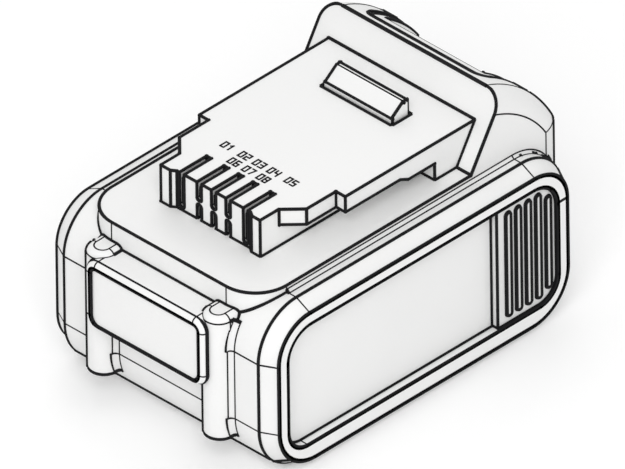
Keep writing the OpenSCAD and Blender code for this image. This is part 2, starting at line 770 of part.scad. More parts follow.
// A slab that faces -y, with round corners and a rounded front edge
module front_plate() {
    w = plate_w;
    edge = plate_t - 2 * snug;
    cx = w / 2 - plate_r;
    cz = plate_h / 2 - plate_r;
    color("white") translate([0, seat_y, (plate_z0 + plate_z1) / 2]) rotate([90, 0, 0]) {
        difference() {
            union() {
                for (x = [-cx, cx], z = [-cz, cz]) translate([x, z, 0]) rotate_extrude() intersection() {
                    round_rect([-plate_r, 0], [plate_r, plate_t], 0, edge);
                    square([plate_r, plate_t]);
                }
                along_y(-cz, cz) round_rect([-w / 2, 0], [w / 2, plate_t], 0, edge);
                along_x(2 * cx) round_rect([-plate_h / 2, 0], [plate_h / 2, plate_t], 0, edge);
            }
            along_z(plate_t - field_depth, plate_t + past)
                round_rect([-w / 2 + field_edge, -plate_h / 2 + field_foot],
                           [w / 2 - field_edge, plate_h / 2 - field_edge],
                           plate_r - field_foot, plate_r - field_edge);
        }
        for (x = [-peg_x, peg_x]) translate([x, -plate_h / 4, -peg_l])
            cylinder(h = peg_l + plate_t / 2, d = peg_d);
    }
}

// Side panels and grip pads

module side_panel(right) {
    color("white") side(right) outward(pocket_x, pocket_x + panel_t) intersection() {
        recess_outline(lay_gap);
        translate([-recess_y, 0]) square([panel_l - lay_gap, case_h]);
    }
}

module pad_outline(inset) {
    intersection() {
        recess_outline(lay_gap + inset);
        translate([pad_y + inset, 0]) square([2 * recess_y, case_h]);
    }
}

module grip_pad(right) {
    middle = (pad_y + recess_y - lay_gap) / 2 + rib_shift;
    end_r = rib_w / 2 * end_round;
    color("whitesmoke") side(right) {
        outward(pocket_x, pocket_x + pad_t) pad_outline(0);
        outward(pocket_x + pad_t - lap, pocket_x + pad_t + rib_h) intersection() {
            for (i = [0 : rib_count - 1]) {
                y = middle + (i - (rib_count - 1) / 2) * rib_pitch;
                last = i == rib_count - 1 ? 1 : 0;
                round_rect([y - rib_w / 2, recess_z0 + rib_margin + last * last_rib_rise],
                           [y + rib_w / 2, recess_z1 - rib_margin - last * last_rib_drop], end_r, end_r);
            }
            pad_outline(rib_margin / 4);
        }
    }
}

// Release button, latch and springs

module button_plan(inset) {
    gap = slide_gap + 2 * snug;
    round_rect([-button_w / 2 + gap + inset, button_y + gap + inset],
               [button_w / 2 - gap - inset, tail_in_y - gap - inset], button_r - gap, button_r / 3);
}

module button_block(inset, z0) {
    intersection() {
        translate([0, hump_axis_y, hump_axis_z]) rotate([0, 90, 0])
            cylinder(h = 2 * button_w, r = hump_r - slide_gap - inset, center = true);
        along_z(z0, deck_z + hump_r) button_plan(inset);
    }
}

// A hollow cap whose round back carries on the hump's, with a thumb dish and a slanting roof below it
module release_button() {
    color("white") {
        difference() {
            button_block(0, skirt_z);
            difference() {
                button_block(button_roof, skirt_z - past);
                translate([-boss_w, boss_y - boss_w / 2, arm_top]) cube([2 * boss_w, boss_w, hump_r]);
                translate([0, hump_axis_y, hump_axis_z]) rotate([-dish_lean, 0, 0])
                    translate([-button_w, -hump_r, roof_way]) cube([2 * button_w, 2 * hump_r, hump_r]);
            }
            translate([0, dish_y, dish_z]) rotate([0, 90, 0])
                cylinder(h = dish_w, r = dish_r, center = true);
            translate([-arm_w / 2 - slide_gap, button_y, skirt_z - past])
                cube([arm_w + 2 * slide_gap, button_roof + past, arm_top + lay_gap - skirt_z + past]);
        }
        translate([0, boss_y, arm_z0]) cylinder(h = arm_t + lap, d = boss_peg_d);
    }
}

// The wedge that holds the pack in the tool, on a slider whose arm, below a short web, carries the button
module latch_slider() {
    foot_w = 2 * (stem_in - 2 * slide_gap);
    wedge_z = tower_z + latch_lip;
    color("gainsboro") difference() {
        union() {
            along_x(latch_w)
                polygon([[latch_y0, slider_top - lap], [latch_y0, wedge_z],
                         [latch_y1 - latch_flat, tower_z + latch_h],
                         [latch_y1, tower_z + latch_h], [latch_y1, slider_top - lap]]);
            translate([-foot_w / 2, slider_y0, slider_top - arm_t])
                cube([foot_w, hump_y - slider_y0, arm_t]);
            translate([-arm_w / 2, hump_y - 2 * lap, arm_z0]) cube([arm_w, 2 * lap, slider_top - arm_z0]);
            translate([-arm_w / 2, hump_y - lap, arm_z0]) cube([arm_w, arm_y1 - hump_y + lap, arm_t]);
        }
        translate([0, boss_y, arm_z0 - past])
            cylinder(h = arm_t + 2 * past, d = boss_peg_d + 2 * screw_gap);
    }
}

// A ring of points round the spring's wire at turn t, and the closed tube through such rings
spring_rings = 8;
spring_sides = 6;
function spring_point(t) =
    [spring_d / 2 * cos(360 * t), spring_d / 2 * sin(360 * t),
     spring_wire / 2 + (spring_l - spring_wire) * t / spring_turns];
function spring_ring(t) =
    let (c = spring_point(t))
    [for (k = [0 : spring_sides - 1])
        let (a = 360 * k / spring_sides, r = spring_wire / 2 * cos(a))
        c + [r * cos(360 * t), r * sin(360 * t), spring_wire / 2 * sin(a)]];

module latch_spring(right) {
    rings = spring_turns * spring_rings;
    n = spring_sides;
    points = [for (i = [0 : rings]) each spring_ring(i / spring_rings)];
    sides = [for (i = [0 : rings - 1], k = [0 : n - 1])
        let (a = i * n + k, b = i * n + (k + 1) % n)
        each [[a, a + n, b], [b, a + n, b + n]]];
    first = [for (k = [1 : n - 2]) [0, k, k + 1]];
    last = [for (k = [1 : n - 2]) [rings * n, rings * n + k + 1, rings * n + k]];
    color("silver") side(right) translate([spring_x, spring_y, bridge_top])
        polyhedron(points, concat(sides, first, last), convexity = 10);
}

// A bridge over the cells that the latch springs stand on
module spring_plate() {
    half_w = cell_l / 2 - lap;
    color("dimgray") difference() {
        union() {
            translate([-half_w, spring_y - bridge_half, frame_z1])
                cube([2 * half_w, 2 * bridge_half, bridge_t]);
            both_sides() translate([spring_x, spring_y, bridge_top - lap])
                cylinder(h = lap + spring_peg_h, d = spring_d - 2 * spring_wire - 2 * slide_gap);
        }
        both_sides() translate([cell_l / 2 - frame_w / 2, spring_y, frame_z1 - past])
            cylinder(h = 4 * past, d = small_screw_d + 2 * screw_gap);
    }
}

// Cells and what joins them

function cell_place(i) =
    [((i - 1) % cell_columns - (cell_columns - 1) / 2) * cell_pitch,
     cell_z0 + floor((i - 1) / cell_columns) * cell_pitch];

// A round cell along x, with its positive button to the right in every other column
module cell(i) {
    p = cell_place(i);
    color("steelblue") translate([0, p.x, p.y]) mirror([i % cell_columns % 2, 0, 0]) {
        translate([-cell_l / 2, 0, 0]) rotate([0, 90, 0]) cylinder(h = cell_l - cell_button_h, d = cell_d);
        rotate([0, 90, 0]) cylinder(h = cell_l / 2, d = cell_button_d);
    }
}

module cell_frame(right) {
    outer_x = cell_l / 2;
    color("dimgray") side(right) {
        outward(outer_x - frame_w, outer_x) difference() {
            round_rect([-frame_l / 2, frame_z0], [frame_l / 2, frame_z1], frame_r, frame_r);
            for (i = [1 : cell_columns * cell_rows]) translate(cell_place(i)) circle(hole_r);
        }
        for (y = post_places) translate([outer_x - frame_w / 2, y, frame_z1 - frame_wall / 2]) difference() {
            cylinder(h = standoff_h + frame_wall / 2, d = standoff_d);
            translate([0, 0, frame_wall / 2])
                cylinder(h = 2 * standoff_h, d = small_screw_d + 2 * screw_gap);
        }
    }
}

// Strips 1 to 3 join the columns on the left, 4 to 6 on the right, so that the pairs run in series
strip_columns = [[0, 0], [1, 2], [3, 4], [0, 1], [2, 3], [4, 4]];

module bus_strip(i) {
    first = (strip_columns[i - 1].x - (cell_columns - 1) / 2) * cell_pitch;
    last = (strip_columns[i - 1].y - (cell_columns - 1) / 2) * cell_pitch;
    x0 = cell_l / 2;
    upper_z = cell_z0 + cell_pitch;
    run_z = upper_z + strip_w / 2 + cell_gap;
    mid_y = (first + last) / 2;
    room = i % 3 == 2 ? 2 * tab_w + cell_gap : tab_w;
    tab_y = max(board_y0 + tab_w, min(mid_y, board_y1 - room));
    riser_y = max(first, min(tab_y, last));
    color("silver") side(i > 3) {
        outward(x0, x0 + strip_t) difference() {
            union() {
                round_rect([first - strip_w / 2, cell_z0 - strip_w / 2],
                           [last + strip_w / 2, upper_z + strip_w / 2], strip_r, strip_r);
                translate([riser_y - tab_w / 2, upper_z]) square([tab_w, run_z + tab_w / 2 - upper_z]);
                translate([min(riser_y, tab_y) - tab_w / 2, run_z])
                    square([abs(riser_y - tab_y) + tab_w, tab_w / 2]);
                translate([tab_y - tab_w / 2, run_z]) square([tab_w, board_top + strip_t - run_z]);
            }
            if (last > first) translate([mid_y - strip_r, cell_z0 + strip_r])
                square([2 * strip_r, cell_pitch - 2 * strip_r]);
        }
        translate([board_w / 2 - tab_lap, tab_y - tab_w / 2, board_top])
            cube([board_margin + strip_t + tab_lap, tab_w, strip_t]);
    }
}

module insulator(right) {
    x0 = cell_l / 2 + strip_t;
    color("beige") side(right) outward(x0 + lay_gap / 3, x0 + lay_gap / 3 + sheet_t)
        round_rect([-frame_l / 2, frame_z0], [frame_l / 2, frame_z1], frame_r, frame_r);
}

// Boards and terminals

module circuit_board() {
    color("darkgreen") difference() {
        union() {
            translate([-board_w / 2, board_y0, board_z]) cube([board_w, board_y1 - board_y0, board_t]);
            for (p = board_parts) translate([p[0].x, block_y1 + p[0].y, board_top]) cube(p[1]);
        }
        both_sides() for (y = post_places) translate([cell_l / 2 - frame_w / 2, y, board_z - past])
            cylinder(h = board_t + 2 * past, d = small_screw_d + 2 * screw_gap);
    }
}

// Contacts 1 and 2 fill the outer slots, 3 to 5 the lower inner ones and 6 to 8 the upper inner ones
function contact_x(i) = i < 3 ? slot_x[(i - 1) * 4] : slot_x[1 + (i - 3) % 3];
function contact_low(i) = i > 5 ? floor_split + storey_half : deck_z + block_gap;
function contact_high(i) = i > 2 && i < 6 ? floor_split - storey_half : block_top - block_gap;
function tail_back(i) = i > 5 ? tail_step : 0;
contact_w = contact_gap + 2 * contact_t;
fork_y = block_y0 + contact_t;

module fork_plan(i) {
    back = fork_y + fork_l + tail_back(i);
    both_sides_2d() {
        polygon([[contact_gap / 2, fork_y], [contact_w / 2, fork_y], [contact_w / 2, back], [0, back],
                 [0, back - contact_t], [contact_gap / 2, back - contact_t]]);
    }
}
module both_sides_2d() { children(); mirror([1, 0]) children(); }

module contact(i) {
    back = fork_y + fork_l + tail_back(i);
    color("goldenrod") translate([contact_x(i), 0, 0]) {
        along_z(contact_low(i), contact_high(i)) fork_plan(i);
        translate([-contact_t, back - contact_t, board_top])
            cube([2 * contact_t, contact_t, contact_low(i) - board_top + contact_t]);
    }
}

// The insulating block that holds the contacts apart behind the slots
module terminal_block() {
    cut_w = contact_w + 2 * lay_gap;
    color("dimgray") difference() {
        translate([-block_w / 2, block_y0, board_top])
            cube([block_w, block_y1 - block_y0, block_top - board_top]);
        for (i = [1 : contact_count]) translate([contact_x(i), 0, 0]) {
            back = fork_y + fork_l + tail_back(i) + lay_gap;
            lower = i > 2 && i < 6;
            translate([-cut_w / 2, block_y0 - past, contact_low(i) - lay_gap])
                cube([cut_w, back - block_y0 + past,
                      contact_high(i) - contact_low(i) + (lower ? 2 * lay_gap : past)]);
            translate([-contact_t - lay_gap, back - contact_t - 2 * lay_gap, board_top - past])
                cube([2 * (contact_t + lay_gap), contact_t + 2 * lay_gap, contact_low(i) - board_top + past]);
        }
    }
}

// Charge gauge

module gauge_board() {
    color("darkgreen") translate([0, gauge_board_y, gauge_z]) rotate([-90, 0, 0]) {
        translate([-gauge_half, -gauge_half / 2, 0]) cube([2 * gauge_half, gauge_half, board_t]);
        translate([-gauge_x, 0, board_t]) cylinder(h = switch_h, d = gauge_d / 2);
        for (x = light_x) translate([x - light_d / 4, -light_d / 4, board_t])
            cube([light_d / 2, light_d / 2, gauge_post_l / 4]);
    }
}

// A push button with a flange behind the wall
module gauge_button() {
    color("whitesmoke") translate([-gauge_x, tail_in_y, gauge_z]) rotate([-90, 0, 0]) {
        translate([0, 0, -slide_gap - snug]) cylinder(h = wall + slide_gap - snug, d = gauge_d);
        translate([0, 0, -slide_gap - flange_t]) cylinder(h = flange_t, d = gauge_d + 2 * flange_w);
    }
}

module gauge_lens() {
    bar_l = light_x[2] - light_x[0] + light_d;
    color("lightyellow") translate([0, tail_in_y, gauge_z]) rotate([-90, 0, 0]) {
        for (x = light_x) translate([x, 0, -lay_gap - 2 * snug]) cylinder(h = wall + lay_gap, d = light_d);
        translate([light_x[0] - light_d / 2, -light_d / 2, -lay_gap - lens_t]) cube([bar_l, light_d, lens_t]);
    }
}

// Fasteners

module case_screws() {
    color("gray") for (p = screw_places) translate([p.x, p.y, 0]) {
        translate([0, 0, head_z - screw_head_h]) difference() {
            cylinder(h = screw_head_h, d = screw_head_d);
            translate([0, 0, -past]) cylinder(h = past + screw_head_h / 2, d = socket_d, $fn = hexagon);
        }
        translate([0, 0, head_z - lap]) cylinder(h = screw_top - head_z + lap, d = screw_d);
    }
}

module small_screw(z, l) {
    translate([0, 0, z]) cylinder(h = small_head_h, d = 2 * small_screw_d);
    translate([0, 0, z - l]) cylinder(h = l + small_head_h / 2, d = small_screw_d);
}

module board_screws() {
    color("gray") both_sides() {
        for (y = post_places) translate([cell_l / 2 - frame_w / 2, y, 0])
            small_screw(board_top, board_t + standoff_h - 2 * snug);
        translate([cell_l / 2 - frame_w / 2, spring_y, 0]) small_screw(bridge_top, bridge_t);
    }
}

function drawn(name) = node == "all" || node == name;

if (drawn("lower_case")) in_frame() lower_case();
if (drawn("upper_case")) in_frame() upper_case();
if (drawn("front_plate")) in_frame() front_plate();
if (drawn("side_panel_left")) in_frame() side_panel(false);
if (drawn("side_panel_right")) in_frame() side_panel(true);
if (drawn("grip_pad_left")) in_frame() grip_pad(false);
if (drawn("grip_pad_right")) in_frame() grip_pad(true);
if (drawn("release_button")) in_frame() release_button();
if (drawn("latch_slider")) in_frame() latch_slider();
if (drawn("latch_spring_left")) in_frame() latch_spring(false);
if (drawn("latch_spring_right")) in_frame() latch_spring(true);
if (drawn("spring_plate")) in_frame() spring_plate();
if (drawn("terminal_block")) in_frame() terminal_block();
if (drawn("circuit_board")) in_frame() circuit_board();
if (drawn("cell_frame_left")) in_frame() cell_frame(false);
if (drawn("cell_frame_right")) in_frame() cell_frame(true);
if (drawn("insulator_left")) in_frame() insulator(false);
if (drawn("insulator_right")) in_frame() insulator(true);
if (drawn("gauge_board")) in_frame() gauge_board();
if (drawn("gauge_button")) in_frame() gauge_button();
if (drawn("gauge_lens")) in_frame() gauge_lens();
if (drawn("case_screws")) in_frame() case_screws();
if (drawn("board_screws")) in_frame() board_screws();
for (i = [1 : contact_count]) if (drawn(str("contact_", i))) in_frame() contact(i);
for (i = [1 : cell_columns * cell_rows]) if (drawn(str("cell_", i))) in_frame() cell(i);
for (i = [1 : strip_count]) if (drawn(str("bus_strip_", i))) in_frame() bus_strip(i);
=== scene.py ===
"""A slide-on battery pack for power tools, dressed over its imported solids: white moulded plastic with
dark edge lines, marks beside the terminal slots, a pale floor, soft light and an isometric camera."""

import math

import bpy
import numpy as np
from mathutils import Matrix, Vector


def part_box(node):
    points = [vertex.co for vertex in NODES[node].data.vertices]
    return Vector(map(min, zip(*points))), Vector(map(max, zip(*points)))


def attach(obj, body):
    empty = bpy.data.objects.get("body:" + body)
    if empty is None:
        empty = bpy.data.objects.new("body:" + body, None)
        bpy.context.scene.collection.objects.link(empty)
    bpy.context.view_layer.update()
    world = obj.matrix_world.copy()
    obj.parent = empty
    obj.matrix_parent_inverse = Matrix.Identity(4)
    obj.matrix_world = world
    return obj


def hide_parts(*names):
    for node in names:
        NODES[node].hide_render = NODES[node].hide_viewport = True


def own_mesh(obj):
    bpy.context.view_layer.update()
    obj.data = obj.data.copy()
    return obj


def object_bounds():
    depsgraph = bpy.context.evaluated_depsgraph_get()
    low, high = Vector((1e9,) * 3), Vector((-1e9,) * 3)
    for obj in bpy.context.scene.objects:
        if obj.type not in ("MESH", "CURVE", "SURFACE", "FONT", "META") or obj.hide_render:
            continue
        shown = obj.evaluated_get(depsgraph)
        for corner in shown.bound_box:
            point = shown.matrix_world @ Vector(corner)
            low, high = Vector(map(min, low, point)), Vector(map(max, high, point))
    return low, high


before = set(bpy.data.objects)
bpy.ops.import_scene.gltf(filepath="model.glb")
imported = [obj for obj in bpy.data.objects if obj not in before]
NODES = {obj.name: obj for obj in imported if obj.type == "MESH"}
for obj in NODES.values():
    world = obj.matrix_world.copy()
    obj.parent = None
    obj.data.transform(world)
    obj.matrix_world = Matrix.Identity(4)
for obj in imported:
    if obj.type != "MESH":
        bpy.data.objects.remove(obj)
cad_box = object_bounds()
MM = 0.001


# Places on the pack

# The pack's box, and how near to it counts as on it
BOX_LOW, BOX_HIGH = (np.array(corner, float) for corner in cad_box)
ON_BOX = 0.01 * MM
# The height where the case parts, and its front wall between the posts
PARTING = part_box("lower_case")[1][2]
FRONT_WALL = -51.6 * MM
# The recess in a flat side face, along y and z: a panel and a pad fill it but for a gap all round
PANEL_GAP = 0.15 * MM
RECESS_LOW = np.array(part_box("side_panel_right")[0], float)[1:] - PANEL_GAP
RECESS_HIGH = np.array(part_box("grip_pad_right")[1], float)[1:] + PANEL_GAP
# The flat rim round the recess: its width at both ends, below and above
RIM_ENDS, RIM_FOOT, RIM_HEAD = 3.15 * MM, 4.55 * MM, 3.3 * MM
RIM_LOW = RECESS_LOW - (RIM_ENDS, RIM_FOOT)
RIM_HIGH = RECESS_HIGH + (RIM_ENDS, RIM_HEAD)
# The radii of their lower and upper corners
RECESS_RADII = 6.6 * MM, 8.2 * MM
RIM_RADII = 12.35 * MM, 10.95 * MM


# Node trees

def new_material(name):
    """An empty node material with its output and its principled shader."""
    mat = bpy.data.materials.new(name)
    mat.use_nodes = True
    tree = mat.node_tree
    tree.nodes.clear()
    out = tree.nodes.new("ShaderNodeOutputMaterial")
    shader = tree.nodes.new("ShaderNodeBsdfPrincipled")
    tree.links.new(shader.outputs["BSDF"], out.inputs["Surface"])
    return mat, tree, shader


def add_node(tree, kind, values=(), **settings):
    """One node of a tree, with its settings and its (input, value or socket) pairs."""
    node = tree.nodes.new(kind)
    for key, value in settings.items():
        setattr(node, key, value)
    for key, value in values:
        if isinstance(value, bpy.types.NodeSocket):
            tree.links.new(value, node.inputs[key])
        else:
            node.inputs[key].default_value = value
    return node


def maths(tree, operation, first, second=0.0, third=0.0):
    """The outcome of one step of arithmetic on values or sockets."""
    values = [(0, first), (1, second), (2, third)]
    return add_node(tree, "ShaderNodeMath", values, operation=operation).outputs[0]


def ramp(tree, value, low, high, to_low=0.0, to_high=1.0):
    """value carried from low..high to to_low..to_high, eased and clamped."""
    values = [("Value", value), ("From Min", low), ("From Max", high), ("To Min", to_low),
              ("To Max", to_high)]
    return add_node(tree, "ShaderNodeMapRange", values, interpolation_type="SMOOTHSTEP").outputs["Result"]


def mixed(tree, share, one, other):
    """A colour that goes from one to the other as share goes from 0 to 1."""
    return add_node(tree, "ShaderNodeMix", [(0, share), (6, one), (7, other)], data_type="RGBA").outputs[2]


def noise(tree, coords, scale, detail=3.0, rough=0.5):
    """Smooth noise around a half, with about scale waves to the metre."""
    values = [("Vector", coords), ("Scale", scale), ("Detail", detail), ("Roughness", rough)]
    return add_node(tree, "ShaderNodeTexNoise", values).outputs["Fac"]


def rgba(colour, shade=1.0):
    """A colour, darkened by shade, with full cover."""
    return (*(part * shade for part in colour), 1.0)


def dress(tree, shader, tone, rough, height, strength, depth):
    """Gives a shader its tone and roughness, and a bump of a strength and depth that follows height."""
    bump = add_node(tree, "ShaderNodeBump", [("Strength", strength), ("Distance", depth), ("Height", height)])
    for value, key in ((tone, "Base Color"), (rough, "Roughness"), (bump.outputs[0], "Normal")):
        tree.links.new(value, shader.inputs[key])


# Materials

INK = (0.012, 0.012, 0.013)
WHITE = (0.9, 0.9, 0.895)
INK_SHEEN, PLASTIC_SHEEN = 0.08, 0.5
# Half the width of a painted line, and its soft border
LINE_HALF, LINE_BORDER = 0.43 * MM, 0.04 * MM
# The waves to the metre of plastic's drift of tone and its grain, and of metal's drawn lines and dull patches
DRIFT, GRAIN, DRAWN, PATCHES = 45.0, 1900.0, 1400.0, 160.0
# The tone factors of faded plastic, of the grain's hollows, where shade is painted, and of dull metal, and
# how far that painted shade darkens the tone
FADED, PIT_SHADE, DULL = 0.985, 0.9, 0.86
PIT_SHADE_SHARE = 0.18
# The depths of plastic's grain and metal's drawn lines, and the strength of the latter's bump
GRAIN_DEPTH, DRAWN_DEPTH = 0.03 * MM, 0.01 * MM
DRAWN_BUMP = 0.25


def rounded_depth(tree, y, z, low, high, low_r, high_r):
    """How far (y, z) lies inside a rectangle from low to high with round lower and upper corners: the
    corner's radius less the distance from its centre, or the way to the nearest side where no corner is
    near."""
    mid_y, mid_z = (low + high) / 2
    upper = maths(tree, "GREATER_THAN", z, mid_z)
    radius = maths(tree, "MULTIPLY_ADD", upper, high_r - low_r, low_r)
    over = []
    for value, middle, end in ((y, mid_y, high[0]), (z, mid_z, high[1])):
        away = maths(tree, "ABSOLUTE", maths(tree, "SUBTRACT", value, middle))
        over.append(maths(tree, "ADD", maths(tree, "SUBTRACT", away, end - middle), radius))
    past = [maths(tree, "MAXIMUM", value, 0.0) for value in over]
    square = maths(tree, "MULTIPLY_ADD", past[0], past[0], maths(tree, "MULTIPLY", past[1], past[1]))
    within = maths(tree, "MINIMUM", maths(tree, "MAXIMUM", over[0], over[1]), 0.0)
    gone = maths(tree, "ADD", maths(tree, "SQRT", square), within)
    return maths(tree, "SUBTRACT", radius, gone)


def side_face_lines(tree, coords):
    """Where the flat side faces carry lines: a band of even width along their outer border, along the
    recess, and along the parting line behind it. These faces bound the pack's box, so no wire can stand
    out from them."""
    x, y, z = add_node(tree, "ShaderNodeSeparateXYZ", [(0, coords)]).outputs
    outer = rounded_depth(tree, y, z, RIM_LOW, RIM_HIGH, *RIM_RADII)
    inner = rounded_depth(tree, y, z, RECESS_LOW, RECESS_HIGH, *RECESS_RADII)
    seam = maths(tree, "ABSOLUTE", maths(tree, "SUBTRACT", z, PARTING))
    ahead = maths(tree, "LESS_THAN", y, RECESS_HIGH[0])
    near = maths(tree, "MINIMUM", outer, maths(tree, "ABSOLUTE", inner))
    near = maths(tree, "MINIMUM", near, maths(tree, "ADD", seam, ahead))
    flat = maths(tree, "GREATER_THAN", maths(tree, "ABSOLUTE", x), BOX_HIGH[0] - ON_BOX)
    return maths(tree, "MULTIPLY", ramp(tree, near, LINE_HALF, LINE_HALF + LINE_BORDER, 1.0, 0.0), flat)


def moulded(name, colour, grain=0.35, rough=0.55, lines=None):
    """Moulded plastic: a fine spark-eroded grain sets its bump and has shade painted into its hollows, and a
    slow drift moves its tone and roughness. lines, where given, says where it is painted with ink."""
    mat, tree, shader = new_material(name)
    coords = add_node(tree, "ShaderNodeTexCoord").outputs["Object"]
    drift = noise(tree, coords, DRIFT, detail=2.0)
    fine = noise(tree, coords, GRAIN, detail=4.0, rough=0.6)
    tone = mixed(tree, ramp(tree, drift, low=0.3, high=0.7), rgba(colour, FADED), rgba(colour))
    # Painted shade: the grain's low spots, where its bump sinks, are darkened a little
    pit_shade = ramp(tree, fine, low=0.25, high=0.55, to_low=PIT_SHADE_SHARE, to_high=0.0)
    tone = mixed(tree, pit_shade, tone, rgba(colour, PIT_SHADE))
    if lines:
        share = lines(tree, coords)
        tone = mixed(tree, share, tone, rgba(INK))
        sheen = ramp(tree, share, 0.0, 1.0, PLASTIC_SHEEN, INK_SHEEN)
        tree.links.new(sheen, shader.inputs["Specular IOR Level"])
    worn = ramp(tree, drift, low=0.2, high=0.8, to_low=rough - 0.05, to_high=rough + 0.06)
    dress(tree, shader, tone, worn, fine, grain, GRAIN_DEPTH)
    return mat


def metal(name, colour, rough=0.3, along=(1.0, 1.0, 1.0)):
    """Bare metal: fine lines, drawn out where along is small, set its bump and roughness, and faint
    patches are dull."""
    mat, tree, shader = new_material(name)
    coords = add_node(tree, "ShaderNodeTexCoord").outputs["Object"]
    drawn = add_node(tree, "ShaderNodeMapping", [("Vector", coords), ("Scale", along)]).outputs[0]
    lines = noise(tree, drawn, DRAWN)
    patches = noise(tree, coords, PATCHES)
    tone = mixed(tree, ramp(tree, patches, low=0.35, high=0.7), rgba(colour, DULL), rgba(colour))
    worn = ramp(tree, lines, low=0.3, high=0.7, to_low=rough - 0.07, to_high=rough + 0.12)
    shader.inputs["Metallic"].default_value = 1.0
    dress(tree, shader, tone, worn, lines, DRAWN_BUMP, DRAWN_DEPTH)
    return mat


case_plastic = moulded("case_plastic", WHITE, lines=side_face_lines)
plate_plastic = moulded("plate_plastic", WHITE, grain=0.25)
panel_plastic = moulded("panel_plastic", WHITE, grain=0.2, rough=0.5)
button_plastic = moulded("button_plastic", WHITE, grain=0.25, rough=0.48)
latch_plastic = moulded("latch_plastic", WHITE, grain=0.15, rough=0.42)
grip_rubber = moulded("grip_rubber", (0.84, 0.84, 0.835), grain=0.5, rough=0.72)
frame_plastic = moulded("frame_plastic", (0.03, 0.03, 0.032), grain=0.3)
board_lacquer = moulded("board_lacquer", (0.02, 0.11, 0.05), grain=0.1, rough=0.35)
sheet_paper = moulded("sheet_paper", (0.7, 0.66, 0.5), grain=0.4, rough=0.8)
cell_sleeve = moulded("cell_sleeve", (0.05, 0.16, 0.36), grain=0.1, rough=0.35)
lens_plastic = moulded("lens_plastic", (0.82, 0.82, 0.76), grain=0.05, rough=0.2)
screw_steel = metal("screw_steel", (0.42, 0.42, 0.43), 0.34)
spring_steel = metal("spring_steel", (0.55, 0.55, 0.56), 0.28)
strip_nickel = metal("strip_nickel", (0.62, 0.6, 0.56), 0.3, (1.0, 0.05, 1.0))
contact_metal = metal("contact_metal", (0.66, 0.5, 0.24), 0.26, (1.0, 0.05, 1.0))
edge_ink = moulded("edge_ink", INK, grain=0.2, rough=0.75)
edge_ink.node_tree.nodes["Principled BSDF"].inputs["Specular IOR Level"].default_value = INK_SHEEN

FINISHES = {
    case_plastic: ["lower_case", "upper_case"],
    plate_plastic: ["front_plate"],
    panel_plastic: ["side_panel_left", "side_panel_right", "terminal_block"],
    button_plastic: ["release_button", "gauge_button"],
    latch_plastic: ["latch_slider"],
    grip_rubber: ["grip_pad_left", "grip_pad_right"],
    frame_plastic: ["cell_frame_left", "cell_frame_right", "spring_plate"],
    board_lacquer: ["circuit_board", "gauge_board"],
    sheet_paper: ["insulator_left", "insulator_right"],
    cell_sleeve: [f"cell_{i}" for i in range(1, 11)],
    lens_plastic: ["gauge_lens"],
    screw_steel: ["case_screws", "board_screws"],
    strip_nickel: [f"bus_strip_{i}" for i in range(1, 7)],
    contact_metal: [f"contact_{i}" for i in range(1, 9)],
}
for finish, names in FINISHES.items():
    for name in names:
        NODES[name].data.materials.clear()
        NODES[name].data.materials.append(finish)


# Wires

# A wire's sides, and where its corners stand round it
SIDES = 6
RING = np.radians((np.arange(SIDES) + 0.5) * 360.0 / SIDES)
# Two wires share a ring where the cosine between their ways from the point is under this
GENTLE = -0.6
# How far a closed end runs on past its point, in radii
RUN_ON = 0.4
# How near two points are that count as one: in a node, along a turn line and in a mesh of wires
SAME_IN_NODE, SAME_IN_TURN, SAME_IN_WIRES = 0.0005 * MM, 0.001 * MM, 0.0001 * MM
# Triangles of no more than this doubled area, in square metres, have no normal
NO_AREA = 1e-16
# Rows shorter than this are divided by it instead of by their length
NO_LENGTH = 1e-12


def unit(rows):
    """Rows scaled to length one."""
    return rows / np.maximum(np.linalg.norm(rows, axis=-1, keepdims=True), NO_LENGTH)


def merged(points, size):
    """Points with those that round to the same step of size merged, and each point's place among them."""
    steps = np.round(points / size).astype(np.int64)
    _, first, back = np.unique(steps, axis=0, return_index=True, return_inverse=True)
    return points[first], back.reshape(-1)


def wires(co, ends, mean, radius, offset):
    """Six-sided wires along edges, each moved off its edge by offset. A ring of points stands square to
    the wire at each end. Where just two edges meet at a gentle turn they share the ring that halves the
    turn, and elsewhere each wire runs on by a little and is closed. Gives points as (edge, end, side,
    xyz) and which ends are closed."""
    along = unit(co[ends[:, 1]] - co[ends[:, 0]])
    place = ends.reshape(-1)
    away = np.stack([along, -along], axis=1).reshape(-1, 3)
    edge = np.repeat(np.arange(len(ends)), 2)
    order = np.argsort(place, kind="stable")
    count = np.bincount(place, minlength=len(co))
    start = np.cumsum(count) - count
    first = order[start[count == 2]]
    second = order[start[count == 2] + 1]
    gentle = np.einsum("ij,ij->i", away[first], away[second]) < GENTLE
    first, second = first[gentle], second[gentle]
    path = np.stack([along, along], axis=1).reshape(-1, 3)
    up, wide, shift = mean[edge], radius[edge], offset[edge]
    middle = co[place] - away * wide[:, None] * RUN_ON
    shared = unit(away[first] - away[second])
    for one, two in ((first, second), (second, first)):
        same = np.sign(np.einsum("ij,ij->i", shared, path[one]))[:, None]
        path[one] = shared * same
        middle[one] = co[place[one]]
        up[one] = unit(mean[edge[one]] + mean[edge[two]])
        wide[one] = (radius[edge[one]] + radius[edge[two]]) / 2
        shift[one] = (offset[edge[one]] + offset[edge[two]]) / 2
    side = unit(np.cross(path, up))
    up = np.cross(side, path)
    ring = np.cos(RING)[None, :, None] * side[:, None] + np.sin(RING)[None, :, None] * up[:, None]
    points = (middle + shift)[:, None] + ring * wide[:, None, None]
    points = np.clip(points, BOX_LOW, BOX_HIGH)
    closed = np.ones(len(place), bool)
    closed[first] = closed[second] = False
    return points.reshape(-1, 2, SIDES, 3), closed.reshape(-1, 2)


def new_piece(name, points, faces, finish, body):
    """One mesh object of points and faces, in a finish, riding on a body."""
    mesh = bpy.data.meshes.new(name)
    mesh.from_pydata(points, [], faces)
    mesh.validate()
    mesh.materials.append(finish)
    obj = bpy.data.objects.new(name, mesh)
    bpy.context.scene.collection.objects.link(obj)
    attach(obj, body)
    return obj


